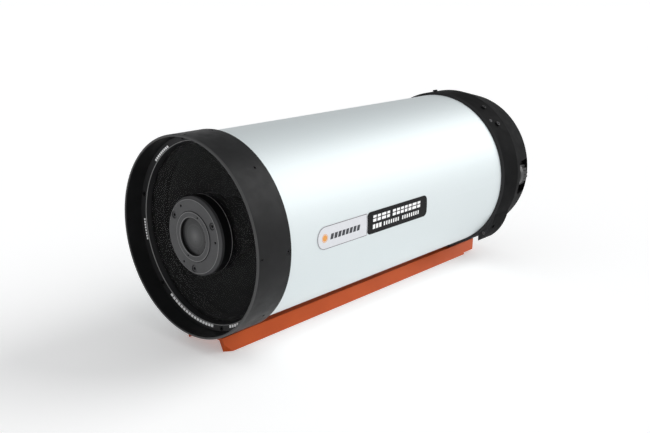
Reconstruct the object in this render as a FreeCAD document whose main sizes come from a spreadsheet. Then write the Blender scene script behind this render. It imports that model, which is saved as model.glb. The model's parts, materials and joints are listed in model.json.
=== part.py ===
import FreeCAD, Part

# An 8-inch f/2 Schmidt astrograph: a closed tube with a thin glass corrector at the front, a lens
# group in the middle of that corrector where a camera is fastened, and one focusing mirror behind.
#
# Row frame: +Y runs along the optical axis from the open front to the back, +Z is up, and the
# dovetail bar stands on the plane Z = 0. X = 0 is the plane through the optical axis, and Y = 0 is
# halfway along the instrument.
#
# Optical pieces are drawn in their own frame: Y is the distance behind the front rim, and X and Z
# are measured from the optical axis. A clock angle is counted from +X towards +Z.

import math
import os
import re

import Sketcher
from FreeCAD import Placement, Rotation, Vector

DOC = FreeCAD.newDocument("astrograph")
PARTS_FOLDER = "parts"
AXIS = Vector(0, 1, 0)

# Driving dimensions in millimetres. Names ending in _y are distances behind the front rim, and
# names ending in _r are radii.
SIZES = {
    # whole instrument
    "overall_length": 581.0,
    "axis_height": 135.5,
    # front cell: the ring that carries the corrector
    "rim_r": 116.6,
    "cell_r": 117.6,
    "rim_inner_r": 114.9,
    "cell_depth": 48.7,
    "shelf_y": 31.4,
    "corrector_pocket_r": 109.2,
    "seat_y": 36.9,
    "seat_r": 104.4,
    "tube_pocket_y": 40.2,
    "spigot_y": 56.0,
    "edge_break": 1.2,
    # main tube
    "tube_r": 114.0,
    "tube_inner_r": 112.4,
    "tube_front_y": 40.3,
    "tube_back_y": 503.9,
    "fit_gap": 0.05,
    "front_tube_screw_y": 44.2,
    "rear_tube_screw_y": 499.0,
    "centring_screw_y": 34.1,
    "rim_screw_y": 5.2,
    # corrector plate and the ring that holds it
    "corrector_r": 108.5,
    "corrector_hole_r": 40.3,
    "corrector_front_y": 31.9,
    "corrector_back_y": 36.3,
    "gasket_r": 105.8,
    "ring_r": 114.4,
    "ring_face_r": 107.6,
    "ring_lip_r": 105.3,
    "ring_front_y": 22.6,
    "ring_face_y": 24.6,
    "ring_screw_pitch_r": 111.2,
    "ring_screw_angle": 44.5,
    # lens group
    "lens_face_y": 10.3,
    "lens_face_r": 43.0,
    "barrel_r": 46.2,
    "bevel_y": 13.4,
    "flange_back_y": 17.0,
    "barrel_step_y": 28.3,
    "barrel_neck_r": 44.6,
    "sleeve_r": 39.8,
    "sleeve_y": 46.0,
    "barrel_tail_r": 34.5,
    "barrel_tail_y": 74.0,
    "element_r": 30.0,
    "window_bore_r": 29.6,
    "window_ring_r": 29.2,
    "window_ring_y": 9.5,
    "opening_r": 22.0,
    "opening_depth": 3.4,
    "opening_chamfer": 0.9,
    "window_r": 26.6,
    "window_y": 12.95,
    "window_back_y": 17.0,
    "window_seat_r": 24.2,
    "big_screw_pitch_r": 38.2,
    "spanner_hole_pitch_r": 25.8,
    # rear cell
    "lip_r": 115.0,
    "lip_y": 484.4,
    "band_y": 487.4,
    "band_r": 117.8,
    "cone_y": 525.5,
    "cone_end_r": 106.6,
    "cone_end_y": 573.7,
    "back_r": 102.4,
    "back_y": 577.5,
    "rear_spigot_y": 476.0,
    "rear_pocket_y": 504.0,
    "cavity_r": 110.4,
    "cavity_back_r": 100.5,
    "cavity_back_y": 571.0,
    "hub_r": 38.0,
    "hub_y": 545.0,
    "foot_r": 70.0,
    "foot_x": 36.0,
    "foot_drop": 42.9,
    "foot_inner_x": 79.0,
    "foot_top_drop": 50.0,
    "foot_root_r": 114.0,
    "foot_screw_r": 122.0,
    "foot_hole_y": 496.0,
    "accessory_screw_y": 508.0,
    # focus drive, beside the optical axis
    "focus_x": 88.5,
    "focus_drop": 5.5,
    "pocket_drop": 6.0,
    "pocket_half": 25.5,
    "pocket_wall": 4.0,
    "pocket_front_y": 532.3,
    "pocket_floor_y": 537.5,
    "pocket_back_y": 573.6,
    "pocket_corner": 8.0,
    "housing_r": 11.0,
    "housing_flange_r": 17.0,
    "housing_flange_y": 543.1,
    "bearing_r": 8.0,
    "bearing_width": 4.7,
    "bearing_front_y": 533.35,
    "housing_screw_pitch_r": 14.0,
    "knob_r": 20.0,
    "knob_front_y": 551.5,
    "grip_front_y": 560.5,
    "knob_back_y": 572.6,
    "knob_core_r": 16.5,
    "knob_set_y": 556.0,
    "screw_r": 3.0,
    "screw_tip_y": 518.0,
    "thread_end_y": 531.5,
    "shaft_r": 4.0,
    "shaft_end_y": 566.0,
    # primary mirror and its slide
    "mirror_r": 104.0,
    "mirror_hole_r": 28.2,
    "mirror_land_r": 41.0,
    "mirror_front_y": 497.0,
    "mirror_edge_y": 492.85,
    "mirror_back_y": 513.0,
    "mirror_curve_r": 1100.0,
    "carrier_r": 28.0,
    "carrier_bore_r": 25.6,
    "carrier_front_y": 488.0,
    "carrier_flange_y": 513.8,
    "carrier_flange_back_y": 518.3,
    "carrier_flange_r": 60.0,
    "carrier_back_y": 530.0,
    "guide_r": 22.0,
    "guide_bore_r": 20.2,
    "guide_front_y": 440.0,
    "guide_flange_r": 30.6,
    "guide_flange": 2.0,
    "running_gap": 0.05,
    "arm_back_y": 524.3,
    "arm_inner_x": 32.0,
    "arm_half": 13.0,
    "arm_screw_pitch_r": 46.0,
    "nut_r": 6.5,
    "nut_flange_r": 11.0,
    "nut_flange_y": 527.3,
    # dovetail bar, measured in the row's own height from the resting plane
    "bar_front_y": 22.0,
    "bar_back_y": 553.0,
    "bar_foot_x": 38.0,
    "bar_top_x": 30.0,
    "bar_top": 16.0,
    "bar_leg": 7.0,
    "bar_web_under": 12.5,
    "bar_notch_y": 516.0,
    "bar_notch": 2.4,
    "bar_end_slope": 12.0,
    "bar_chamfer": 9.0,
    "block_half_x": 27.0,
    "front_block_y": 25.0,
    "front_block_back_y": 46.5,
    "rear_block_y": 489.0,
    "rear_block_back_y": 521.0,
    "bolt_x": 13.0,
    "front_bolt_y": 35.0,
    "rear_bolt_y": 512.0,
    "bolt_r": 3.0,
    "bolt_tip_drop": 112.0,
    # label plates on the side of the tube
    "label_r": 114.45,
    "label_front_y": 93.0,
    "label_split_y": 181.0,
    "label_back_y": 301.0,
    "label_half": 13.8,
    "label_dark_corner": 6.0,
    # back of the rear cell
    "cover_r": 40.0,
    "cover_recess_r": 31.0,
    "cover_recess_y": 574.5,
    "cover_screw_pitch_r": 35.0,
    "vent_pitch_r": 68.0,
    "vent_r": 14.0,
    "vent_flange_r": 17.5,
    "vent_flange": 1.8,
    "vent_mesh": 0.8,
}

# Clock angles in degrees, and the numbers of repeated pieces.
BIG_SCREW_ANGLES = (149, 29, -91)
SMALL_SCREW_ANGLE = 1
SPANNER_HOLE_ANGLE = 68
CENTRING_ANGLES = (48, 138, 228, 318)
REAR_TUBE_SCREW_ANGLES = (45, 135, 225, 315)
ACCESSORY_ANGLES = (41, 57, 101, 117)
FOOT_SCREW_ANGLES = (-44, -136)
FOOT_HOLE_ANGLES = (-37, -143)
COVER_SCREW_ANGLES = (90, 210, 330)
HOUSING_SCREW_ANGLES = (90, 210, 330)
ARM_SCREW_ANGLES = (3, -17)
KNOB_SCREW_ANGLE = 75
VENT_ANGLES = (115, 245)
BALLS_PER_ROW = 6
BEARING_BALLS = 7
GRIP_RIBS = 20

# Fastener kinds: head radius, head height, shank radius, length under the head, and half the
# width across the flats of the hexagon socket. A set screw's head is as narrow as its shank.
FASTENERS = {
    "ring_screw": (2.75, 1.6, 1.5, 10.2, 1.0),
    "tilt_screw": (4.0, 3.6, 2.5, 11.0, 2.0),
    "tilt_set_screw": (1.5, 2.0, 1.5, 4.3, 0.75),
    "centring_screw": (1.5, 2.0, 1.5, 6.3, 0.75),
    "rim_screw": (1.5, 1.6, 1.5, 0.6, 0.75),
    "tube_screw": (3.4, 1.7, 2.0, 5.0, 1.25),
    "button_screw": (3.6, 2.2, 2.0, 5.0, 1.25),
    "cover_screw": (2.75, 1.6, 1.5, 5.0, 1.0),
    "bar_bolt": (5.0, 5.0, 3.0, 10.5, 2.5),
    "long_screw": (2.75, 1.6, 1.5, 8.4, 1.0),
    "shaft_set_screw": (1.5, 2.0, 1.5, 13.4, 0.75),
}
FASTENER_WORDS = ("head", "height", "shank", "reach", "socket")


def make_sheet():
    """The spreadsheet of driving dimensions, one aliased cell for each."""
    sheet = DOC.addObject("Spreadsheet::Sheet", "dims")
    rows = dict(SIZES)
    for kind, values in FASTENERS.items():
        for word, value in zip(FASTENER_WORDS, values):
            rows[f"{kind}_{word}"] = value
    for row, (alias, value) in enumerate(rows.items(), start=1):
        sheet.set(f"A{row}", alias)
        sheet.set(f"B{row}", str(value))
        sheet.setAlias(f"B{row}", alias)
    DOC.recompute()
    return sheet, set(rows)


SHEET, ALIASES = make_sheet()


def bound(expression):
    """An expression of plain dimension names, with each name turned into a reference to its cell."""

    def reference(match):
        word = match.group()
        return "dims." + word if word in ALIASES else word

    return re.sub(r"[a-z]\w*", reference, str(expression))


def size(expression):
    """The present value of an expression of dimension names."""
    return float(SHEET.evalExpression(bound(expression)))


def place(thing, x="0", y="-overall_length / 2", z="axis_height"):
    """Puts a piece drawn in the optical frame, or a frame beside it, into the row frame."""
    thing.setExpression("Placement.Base.x", bound(x))
    thing.setExpression("Placement.Base.y", bound(y))
    thing.setExpression("Placement.Base.z", bound(z))
    return thing


def new_body(label):
    body = DOC.addObject("PartDesign::Body", label)
    body.Label = label
    return body


def origin_feature(body, role):
    return next(feature for feature in body.Origin.OriginFeatures if feature.Role == role)


def new_sketch(body, role, name):
    sketch = body.newObject("Sketcher::SketchObject", name)
    sketch.AttachmentSupport = [(origin_feature(body, role), "")]
    sketch.MapMode = "FlatFace"
    return sketch


def pin_point(sketch, geometry, point, x, y):
    """Ties one sketch point to its coordinates in the spreadsheet."""
    for kind, axis, expression in (("DistanceX", -2, x), ("DistanceY", -1, y)):
        if size(expression) == 0:
            sketch.addConstraint(Sketcher.Constraint("PointOnObject", geometry, point, axis))
            continue
        constraint = Sketcher.Constraint(kind, -1, 1, geometry, point, size(expression))
        index = sketch.addConstraint(constraint)
        sketch.setExpression(f"Constraints[{index}]", bound(expression))


def outline(sketch, points, arcs=None):
    """A closed outline through points. arcs maps a point's index to (radius, side): the edge that
    starts there bulges to its left where side is 1 and to its right where it is -1."""
    arcs = arcs or {}
    corners = [Vector(size(x), size(y), 0) for x, y in points]
    count = len(corners)
    ends = []
    for i, start in enumerate(corners):
        end = corners[(i + 1) % count]
        if i not in arcs:
            index = sketch.addGeometry(Part.LineSegment(start, end), False)
            ends.append((index, 1, 2))
            continue
        radius, side = arcs[i]
        half = (end - start).Length / 2
        bulge = size(radius) - math.sqrt(max(size(radius) ** 2 - half**2, 0))
        left = Vector(start.y - end.y, end.x - start.x, 0).normalize()
        index = sketch.addGeometry(Part.Arc(start, (start + end) / 2 + left * side * bulge, end), False)
        ends.append((index, 1, 2) if side < 0 else (index, 2, 1))
        constraint = sketch.addConstraint(Sketcher.Constraint("Radius", index, size(radius)))
        sketch.setExpression(f"Constraints[{constraint}]", bound(radius))
    for i, (index, first, last) in enumerate(ends):
        following, following_first, _ = ends[(i + 1) % count]
        sketch.addConstraint(
            Sketcher.Constraint("Coincident", index, last, following, following_first)
        )
        pin_point(sketch, index, first, *points[i])


def circle(sketch, x, y, radius):
    centre = Vector(size(x), size(y), 0)
    index = sketch.addGeometry(Part.Circle(centre, Vector(0, 0, 1), size(radius)), False)
    pin_point(sketch, index, 3, x, y)
    constraint = sketch.addConstraint(Sketcher.Constraint("Radius", index, size(radius)))
    sketch.setExpression(f"Constraints[{constraint}]", bound(radius))


def turned(label, points, arcs=None):
    """A body turned about the Y axis, from (radius, Y) points."""
    body = new_body(label)
    sketch = new_sketch(body, "XY_Plane", label + "_profile")
    outline(sketch, points, arcs)
    revolution = body.newObject("PartDesign::Revolution", label + "_turning")
    revolution.Profile = sketch
    revolution.ReferenceAxis = (sketch, ["V_Axis"])
    revolution.Angle = 360
    sketch.Visibility = False
    return body


def ring(label, inner, outer, front, back):
    """A plain ring or disc about the Y axis."""
    return turned(label, [(inner, front), (outer, front), (outer, back), (inner, back)])


def prism(label, points, front, back, arcs=None):
    """A body with an outline of (X, Z) points, standing from Y = front to Y = back."""
    body = new_body(label)
    sketch = new_sketch(body, "XZ_Plane", label + "_section")
    sketch.setExpression("AttachmentOffset.Base.z", bound(f"-({front})"))
    outline(sketch, points, arcs)
    pad = body.newObject("PartDesign::Pad", label + "_length")
    pad.Profile = sketch
    pad.Reversed = True
    pad.setExpression("Length", bound(f"{back} - ({front})"))
    return body


def side_prism(label, points, half, arcs=None):
    """A body with an outline of (Y, Z) points, standing this far on both sides of X = 0."""
    body = new_body(label)
    sketch = new_sketch(body, "YZ_Plane", label + "_outline")
    sketch.setExpression("AttachmentOffset.Base.z", bound(f"-({half})"))
    outline(sketch, points, arcs)
    pad = body.newObject("PartDesign::Pad", label + "_width")
    pad.Profile = sketch
    pad.setExpression("Length", bound(f"2 * ({half})"))
    return body


def pattern(body, feature, count):
    """Repeats a feature about the body's Y axis."""
    if count == 1:
        return
    polar = body.newObject("PartDesign::PolarPattern", feature.Name + "_round")
    polar.Originals = [feature]
    polar.Axis = (origin_feature(body, "Y_Axis"), [""])
    polar.Angle = 360
    polar.Occurrences = count
    body.Tip = polar


def axial_holes(body, name, radius, pitch, angle, count, front, depth):
    """Round holes along Y, cut from Y = front towards the back."""
    sketch = new_sketch(body, "XZ_Plane", name + "_centres")
    turn = Rotation(Vector(0, 0, 1), angle)
    sketch.AttachmentOffset = Placement(Vector(0, 0, 0), turn)
    sketch.setExpression("AttachmentOffset.Base.z", bound(f"-({front})"))
    circle(sketch, pitch, "0", radius)
    pocket = body.newObject("PartDesign::Pocket", name)
    pocket.Profile = sketch
    pocket.setExpression("Length", bound(depth))
    pattern(body, pocket, count)


def radial_holes(body, name, radius, along, angle, count, outer, depth):
    """Round holes across the Y axis, cut from the radius outer towards the axis."""
    sketch = new_sketch(body, "XY_Plane", name + "_centres")
    lean = math.radians(angle)
    sketch.AttachmentOffset = Placement(Vector(0, 0, 0), Rotation(AXIS, 90 - angle))
    sketch.setExpression("AttachmentOffset.Base.x", bound(f"({outer}) * ({math.cos(lean):.9f})"))
    sketch.setExpression("AttachmentOffset.Base.z", bound(f"({outer}) * ({math.sin(lean):.9f})"))
    circle(sketch, "0", along, radius)
    pocket = body.newObject("PartDesign::Pocket", name)
    pocket.Profile = sketch
    pocket.setExpression("Length", bound(depth))
    pattern(body, pocket, count)


def bolt_holes(body, y, drop, depth):
    """The two vertical holes for one pair of bar bolts, cut upwards from this far below the axis."""
    for side in (-1, 1):
        name = f"{body.Name}_bolt_hole_{'left' if side < 0 else 'right'}"
        sketch = new_sketch(body, "XY_Plane", name + "_centre")
        sketch.setExpression("AttachmentOffset.Base.z", bound(f"-({drop})"))
        circle(sketch, f"{side} * bolt_x", y, "bolt_r + fit_gap")
        pocket = body.newObject("PartDesign::Pocket", name)
        pocket.Profile = sketch
        pocket.Reversed = True
        pocket.setExpression("Length", bound(depth))


def hexagon(sketch, half_width):
    """A regular hexagon about the sketch's origin."""
    reach = f"({half_width}) / {math.cos(math.pi / 6):.9f}"
    turns = [math.pi / 3 * i for i in range(6)]
    outline(
        sketch,
        [(f"{reach} * ({math.cos(t):.9f})", f"{reach} * ({math.sin(t):.9f})") for t in turns],
    )


def make_fastener(kind):
    """A screw with a hexagon socket, pointing along +Y, with the top of its head at Y = 0."""
    head, height, shank, reach, socket = (f"{kind}_{word}" for word in FASTENER_WORDS)
    head_edge = f"{height} * 0.25"
    points = [
        ("0", "0"),
        (f"{head} - {head_edge}", "0"),
        (head, head_edge),
        (head, height),
        (shank, height),
        (shank, f"{height} + {reach} - {shank} * 0.3"),
        (f"{shank} * 0.7", f"{height} + {reach}"),
        ("0", f"{height} + {reach}"),
    ]
    if size(head) == size(shank):
        points = points[:3] + points[5:]
    body = turned(kind, points)
    sketch = new_sketch(body, "XZ_Plane", kind + "_socket_section")
    hexagon(sketch, socket)
    pocket = body.newObject("PartDesign::Pocket", kind + "_socket_cut")
    pocket.Profile = sketch
    pocket.setExpression("Length", bound(f"{height} * 0.7"))
    return body


def on_circle(radius, angle, y):
    """A point at a clock angle about the optical axis."""
    lean = math.radians(angle)
    return Vector(size(radius) * math.cos(lean), size(y), size(radius) * math.sin(lean))


def facing_back(radius, angle, y):
    """A fastener driven in from the front, with the top of its head at Y = y."""
    return Placement(on_circle(radius, angle, y), Rotation())


def facing_front(radius, angle, y):
    """A fastener driven in from behind."""
    return Placement(on_circle(radius, angle, y), Rotation(Vector(0, 0, 1), 180))


def facing_in(radius, angle, y):
    """A fastener driven towards the optical axis, with the top of its head at this radius."""
    inward = -on_circle("1", angle, "0")
    return Placement(on_circle(radius, angle, y), Rotation(AXIS, inward))


def copies(label, master, spots, **frame):
    """Copies of one finished shape as separate solids of one node."""
    solids = []
    for spot in spots:
        solid = master.Shape.copy()
        solid.Placement = spot
        solids.append(solid)
    group = DOC.addObject("Part::Feature", label)
    group.Label = label
    group.Shape = Part.makeCompound(solids)
    return place(group, **frame)


def fastener_group(label, kind, spots, **frame):
    """All the fasteners of one kind and one purpose."""
    return copies(label, MASTERS[kind], spots, **frame)


def cylinder_tool(label, radius, front, back, x="0", z="0"):
    """A cylinder along Y, to cut or join."""
    tool = DOC.addObject("Part::Cylinder", label)
    tool.Placement = Placement(Vector(0, 0, 0), Rotation(Vector(1, 0, 0), -90))
    tool.setExpression("Radius", bound(radius))
    tool.setExpression("Height", bound(f"{back} - ({front})"))
    tool.setExpression("Placement.Base.x", bound(x))
    tool.setExpression("Placement.Base.y", bound(front))
    tool.setExpression("Placement.Base.z", bound(z))
    return tool


def cut(label, base, tools):
    """base without each of the tools."""
    result = base
    for i, tool in enumerate(tools):
        step = DOC.addObject("Part::Cut", label if i == len(tools) - 1 else f"{label}_step_{i}")
        step.Base = result
        step.Tool = tool
        result = step
    result.Label = label
    return result


def fuse(label, pieces):
    joined = DOC.addObject("Part::MultiFuse", label)
    joined.Shapes = pieces
    joined.Refine = True
    joined.Label = label
    return joined


# ---------------------------------------------------------------------------------------------
# Front cell, corrector plate and their small parts


def make_front_cell():
    """The ring at the front: a thin rim, a shelf, a pocket for the glass and one for the tube."""
    cell = turned(
        "front_cell",
        [
            ("rim_inner_r", "0"),
            ("rim_r", "0"),
            ("cell_r", "edge_break"),
            ("cell_r", "cell_depth"),
            ("tube_r + fit_gap", "cell_depth"),
            ("tube_r + fit_gap", "tube_pocket_y"),
            ("tube_inner_r - fit_gap", "tube_pocket_y"),
            ("tube_inner_r - fit_gap", "spigot_y"),
            ("seat_r", "spigot_y"),
            ("seat_r", "seat_y"),
            ("corrector_pocket_r", "seat_y"),
            ("corrector_pocket_r", "shelf_y"),
            ("rim_inner_r", "shelf_y"),
        ],
    )
    axial_holes(
        cell, "ring_screw_threads", "1.5", "ring_screw_pitch_r", size("ring_screw_angle"), 6, "shelf_y", "4.6"
    )
    radial_holes(cell, "tube_screw_heads", "3.5", "front_tube_screw_y", 0, 4, "cell_r + 1", "3.2")
    radial_holes(cell, "tube_screw_holes", "2", "front_tube_screw_y", 0, 4, "cell_r + 1", "10")
    radial_holes(
        cell, "centring_threads", "1.5", "centring_screw_y", CENTRING_ANGLES[0], 4, "cell_r + 1", "12"
    )
    radial_holes(cell, "rim_threads", "1.5", "rim_screw_y", 0, 4, "cell_r + 1", "5")
    bolt_holes(cell, "front_bolt_y", "cell_r + 1", "cell_r + 1 - bolt_tip_drop")
    return place(cell)


def make_corrector_group():
    """The thin glass plate at the front, its gaskets and the ring that clamps it."""
    glass = ring(
        "corrector_plate", "corrector_hole_r", "corrector_r", "corrector_front_y", "corrector_back_y"
    )
    front_gasket = ring(
        "corrector_front_gasket", "gasket_r", "corrector_r", "shelf_y - 0.05", "corrector_front_y"
    )
    rear_gasket = ring(
        "corrector_rear_gasket", "seat_r + 0.6", "corrector_r", "corrector_back_y", "seat_y"
    )
    clamp = turned(
        "corrector_retaining_ring",
        [
            ("ring_face_r", "ring_face_y"),
            ("ring_r", "ring_front_y"),
            ("ring_r", "shelf_y - 0.05"),
            ("ring_lip_r", "shelf_y - 0.05"),
            ("ring_lip_r", "shelf_y - 0.9"),
        ],
    )
    angle = size("ring_screw_angle")
    axial_holes(clamp, "ring_heads", "2.9", "ring_screw_pitch_r", angle, 6, "ring_front_y - 1", "3.7")
    axial_holes(clamp, "ring_shanks", "1.6", "ring_screw_pitch_r", angle, 6, "ring_front_y - 1", "12")
    return [place(piece) for piece in (glass, front_gasket, rear_gasket, clamp)]


def make_cell_fasteners():
    """The small screws of the front cell."""
    around = (0, 90, 180, 270)
    ring_angles = [size("ring_screw_angle") + 60 * i for i in range(6)]
    return [
        fastener_group(
            "corrector_ring_screws",
            "ring_screw",
            [facing_back("ring_screw_pitch_r", a, "ring_front_y + 1") for a in ring_angles],
        ),
        fastener_group(
            "front_tube_screws",
            "tube_screw",
            [facing_in("cell_r - 0.4", a, "front_tube_screw_y") for a in around],
        ),
        fastener_group(
            "corrector_centring_screws",
            "centring_screw",
            [facing_in("cell_r - 0.7", a, "centring_screw_y") for a in CENTRING_ANGLES],
        ),
        fastener_group(
            "rim_screws", "rim_screw", [facing_in("cell_r - 0.3", a, "rim_screw_y") for a in around]
        ),
    ]


# ---------------------------------------------------------------------------------------------
# Lens group in the middle of the corrector

# Each lens element: the Y of its front face at the middle and at the edge, then of its back face
# at the edge and at the middle. A face whose middle stands out is convex.
ELEMENTS = (
    ("27.0", "29.5", "33.0", "31.5"),
    ("39.0", "37.0", "42.0", "44.0"),
    ("46.5", "48.0", "51.5", "50.0"),
    ("55.0", "57.0", "62.0", "66.0"),
)


def face_arc(middle, edge, radius, front):
    """The radius of a spherical face and the side of its chord on which it lies."""
    sag = f"abs({edge} - {middle})"
    curve = f"(({radius}) ^ 2 + ({sag}) ^ 2) / (2 * {sag})"
    convex = (size(edge) > size(middle)) == front
    return curve, -1 if convex else 1


def make_lens_elements():
    made = []
    radius = "element_r - fit_gap"
    for number, (front, front_edge, back_edge, back) in enumerate(ELEMENTS, start=1):
        element = turned(
            f"lens_element_{number}",
            [("0", front), (radius, front_edge), (radius, back_edge), ("0", back)],
            {
                0: face_arc(front, front_edge, radius, True),
                2: face_arc(back, back_edge, radius, False),
            },
        )
        made.append(place(element))
    return made


def make_lens_spacers():
    """The rings that keep the elements apart, as separate solids of one node."""
    pieces = []
    for ahead, behind in zip(ELEMENTS[:-1], ELEMENTS[1:]):
        label = f"lens_spacer_{len(pieces) + 1}"
        pieces.append(
            ring(label, "element_r - 1.2", "element_r - fit_gap", f"{ahead[2]} + 0.2", f"{behind[1]} - 0.2")
        )
    group = DOC.addObject("Part::Compound", "lens_spacers")
    group.Label = "lens_spacers"
    group.Links = pieces
    return place(group)


def make_lens_barrel():
    barrel = turned(
        "lens_barrel",
        [
            ("window_seat_r", "flange_back_y"),
            ("barrel_r", "flange_back_y"),
            ("barrel_r", "barrel_step_y"),
            ("barrel_neck_r", "barrel_step_y"),
            ("barrel_neck_r", "corrector_front_y - 0.3"),
            ("sleeve_r", "corrector_front_y - 0.3"),
            ("sleeve_r", "sleeve_y"),
            ("barrel_tail_r", "sleeve_y"),
            ("barrel_tail_r", "barrel_tail_y"),
            ("element_r", "barrel_tail_y"),
            ("element_r", "window_back_y + 4.6"),
            ("window_seat_r", "window_back_y + 4.6"),
        ],
    )
    axial_holes(
        barrel, "tilt_threads", "2.55", "big_screw_pitch_r", BIG_SCREW_ANGLES[1], 3, "flange_back_y - 1", "10"
    )
    return place(barrel)


def make_lens_flange():
    """The front plate of the lens group, with its three large and three small screw holes."""
    flange = turned(
        "lens_flange",
        [
            ("window_bore_r", "lens_face_y"),
            ("lens_face_r", "lens_face_y"),
            ("barrel_r", "bevel_y"),
            ("barrel_r", "flange_back_y"),
            ("window_bore_r", "flange_back_y"),
        ],
    )
    before = "lens_face_y - 1"
    pitch = "big_screw_pitch_r"
    axial_holes(flange, "tilt_heads", "4.3", pitch, BIG_SCREW_ANGLES[1], 3, before, "5.3")
    axial_holes(flange, "tilt_shanks", "2.55", pitch, BIG_SCREW_ANGLES[1], 3, before, "10")
    axial_holes(flange, "set_threads", "1.55", pitch, SMALL_SCREW_ANGLE, 3, before, "10")
    return place(flange)


def make_window_ring():
    """The ring that holds the window, with a round opening and two holes for a spanner."""
    body = turned(
        "window_retaining_ring",
        [
            ("opening_r", "window_ring_y + opening_chamfer"),
            ("opening_r + opening_chamfer", "window_ring_y"),
            ("window_ring_r", "window_ring_y"),
            ("window_ring_r", "flange_back_y - 0.05"),
            ("window_r + 0.2", "flange_back_y - 0.05"),
            ("window_r + 0.2", "window_ring_y + opening_depth"),
            ("opening_r", "window_ring_y + opening_depth"),
        ],
    )
    axial_holes(
        body, "spanner_holes", "1.2", "spanner_hole_pitch_r", SPANNER_HOLE_ANGLE, 2, "window_ring_y - 1", "4"
    )
    return place(body)


def make_lens_group():
    """Barrel, front plate, window, elements, and the nut that clamps the barrel to the corrector."""
    window = ring("window", "0", "window_r", "window_y", "window_back_y - 0.05")
    gasket = turned(
        "lens_gasket",
        [
            ("corrector_hole_r - 0.3", "corrector_front_y - 0.3"),
            ("barrel_neck_r", "corrector_front_y - 0.3"),
            ("barrel_neck_r", "corrector_front_y"),
            ("corrector_hole_r - 0.3", "corrector_front_y"),
        ],
    )
    nut = ring("lens_lock_nut", "sleeve_r + fit_gap", "barrel_r", "corrector_back_y", "43")
    axial_holes(nut, "nut_spanner_holes", "1.5", "43", 20, 4, "38", "6")
    retainer = ring("lens_retainer", "element_r - 1.6", "element_r - fit_gap", "62.6", "70")
    tilt_screws = [
        fastener_group(
            f"collimation_screw_{number}",
            "tilt_screw",
            [facing_back("big_screw_pitch_r", angle, "lens_face_y + 0.65")],
        )
        for number, angle in enumerate(BIG_SCREW_ANGLES, start=1)
    ]
    small_angles = [SMALL_SCREW_ANGLE + 120 * i for i in range(3)]
    set_screws = fastener_group(
        "collimation_set_screws",
        "tilt_set_screw",
        [facing_back("big_screw_pitch_r", a, "lens_face_y + 0.3") for a in small_angles],
    )
    placed = [place(piece) for piece in (window, gasket, nut, retainer)]
    bodies = [make_lens_barrel(), make_lens_flange(), make_window_ring(), make_lens_spacers()]
    return placed + bodies + make_lens_elements() + tilt_screws + [set_screws]


# ---------------------------------------------------------------------------------------------
# Tube and its label plates


def make_main_tube():
    tube = ring("main_tube", "tube_inner_r", "tube_r", "tube_front_y", "tube_back_y")
    radial_holes(tube, "front_screw_holes", "2.1", "front_tube_screw_y", 0, 4, "tube_r + 1", "8")
    radial_holes(tube, "rear_screw_holes", "1.6", "rear_tube_screw_y", 45, 4, "tube_r + 1", "8")
    return place(tube)


def make_label(label, points, arcs):
    """A thin plate wrapped on the tube's +X side, with an outline of (Y, Z) points."""
    shell = ring(label + "_shell", "tube_r + 0.02", "label_r", "label_front_y - 2", "label_back_y + 2")
    stamp = new_body(label + "_stamp")
    sketch = new_sketch(stamp, "YZ_Plane", label + "_outline")
    outline(sketch, points, arcs)
    pad = stamp.newObject("PartDesign::Pad", label + "_depth")
    pad.Profile = sketch
    pad.setExpression("Length", bound("tube_r + 10"))
    plate = DOC.addObject("Part::Common", label)
    plate.Base = shell
    plate.Tool = stamp
    plate.Label = label
    return place(plate)


def make_labels():
    """A pale plate with a round front end, and a dark plate with round corners behind it."""
    half = "label_half"
    corner = "label_dark_corner"
    near = "label_split_y"
    pale = make_label(
        "label_plate_pale",
        [
            (f"label_front_y + {half}", f"-{half}"),
            ("label_split_y - 0.3", f"-{half}"),
            ("label_split_y - 0.3", half),
            (f"label_front_y + {half}", half),
        ],
        {3: (half + " * 1.0001", -1)},
    )
    round_corner = (corner, -1)
    dark = make_label(
        "label_plate_dark",
        [
            (f"{near} + {corner}", f"-{half}"),
            (f"label_back_y - {corner}", f"-{half}"),
            ("label_back_y", f"{corner} - {half}"),
            ("label_back_y", f"{half} - {corner}"),
            (f"label_back_y - {corner}", half),
            (f"{near} + {corner}", half),
            (near, f"{half} - {corner}"),
            (near, f"{corner} - {half}"),
        ],
        {1: round_corner, 3: round_corner, 5: round_corner, 7: round_corner},
    )
    return [pale, dark]


# ---------------------------------------------------------------------------------------------
# Rear cell: a casting with a straight band, a conical back, two feet and a pocket for the knob


def u_tool(label, half, front, back):
    """A prism with a round inner end, open outwards along +X, round the focus drive."""
    low = f"-pocket_drop - ({half})"
    high = f"-pocket_drop + ({half})"
    return prism(
        label,
        [("focus_x", low), ("140", low), ("140", high), ("focus_x", high)],
        front,
        back,
        {3: (f"({half}) * 1.0001", -1)},
    )


def pocket_tool():
    """The room for the knob: open at the side of the cell, with rounded corners at its floor."""
    slot = u_tool("focus_pocket_slot", "pocket_half", "pocket_floor_y", "pocket_back_y")
    low = "-pocket_drop - pocket_half"
    high = "pocket_half - pocket_drop"
    rounded = side_prism(
        "focus_pocket_corners",
        [
            ("pocket_floor_y + pocket_corner", low),
            ("pocket_back_y", low),
            ("pocket_back_y", high),
            ("pocket_floor_y + pocket_corner", high),
            ("pocket_floor_y", f"{high} - pocket_corner"),
            ("pocket_floor_y", f"{low} + pocket_corner"),
        ],
        "150",
        {3: ("pocket_corner", -1), 5: ("pocket_corner", -1)},
    )
    pocket = DOC.addObject("Part::Common", "focus_pocket")
    pocket.Base = slot
    pocket.Tool = rounded
    return pocket


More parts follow.
